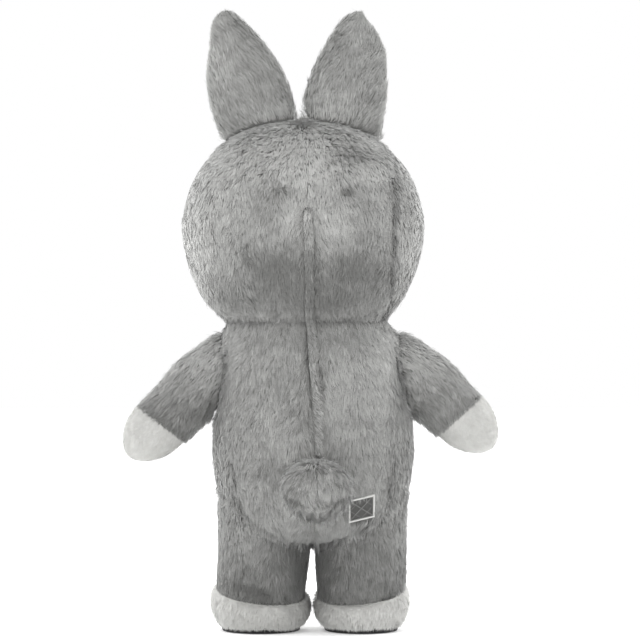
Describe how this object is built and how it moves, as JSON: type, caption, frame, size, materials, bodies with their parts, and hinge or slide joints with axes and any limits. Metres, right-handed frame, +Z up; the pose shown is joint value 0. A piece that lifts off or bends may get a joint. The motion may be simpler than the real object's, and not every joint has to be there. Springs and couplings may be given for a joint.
{
  "type": "rabbit mascot costume",
  "caption": "One-piece inflated rabbit suit of long fur cloth, with upright ears, white mitts and feet on flat soles, a round tail and a zip hidden down the back.",
  "frame": {"origin": "middle of the suit's bounding box in X and Y, on the floor under the soles", "axes": "+Z up; the face looks along -Y and the zip runs down the back at +Y; +X is the suit's left"},
  "size_m": [1.2147, 0.7576, 1.9999],
  "materials": {
    "grey_fur": "long grey pile",
    "white_plush": "white pile",
    "black_sole": "matte",
    "pale_binding": "woven tape",
    "dark_mesh": "open mesh",
    "dark_button": "gloss"
  },
  "bodies": {
    "root": {"head_back_left": "grey_fur", "head_side_left": "grey_fur", "body_back_left": "grey_fur", "body_side_left": "grey_fur", "ear_left_back": "grey_fur", "sleeve_left_back": "grey_fur", "leg_left_back": "grey_fur", "ear_left_front": "grey_fur", "sleeve_left_front": "grey_fur", "leg_left_front": "grey_fur", "mitt_left_back": "white_plush", "mitt_left_palm": "white_plush", "foot_left_heel": "white_plush", "foot_left_vamp": "white_plush", "sole_left": "black_sole", "tail_left": "grey_fur", "eye_left": "dark_button", "head_back_right": "grey_fur", "head_side_right": "grey_fur", "body_back_right": "grey_fur", "body_side_right": "grey_fur", "ear_right_back": "grey_fur", "sleeve_right_back": "grey_fur", "leg_right_back": "grey_fur", "ear_right_front": "grey_fur", "sleeve_right_front": "grey_fur", "leg_right_front": "grey_fur", "mitt_right_back": "white_plush", "mitt_right_palm": "white_plush", "foot_right_heel": "white_plush", "foot_right_vamp": "white_plush", "sole_right": "black_sole", "tail_right": "grey_fur", "eye_right": "dark_button", "head_front": "grey_fur", "body_front": "grey_fur", "zip_placket": "grey_fur", "inlet_binding": "pale_binding", "inlet_mesh": "dark_mesh", "nose": "dark_button", "mouth_mesh": "dark_mesh"}
  },
  "joints": []
}
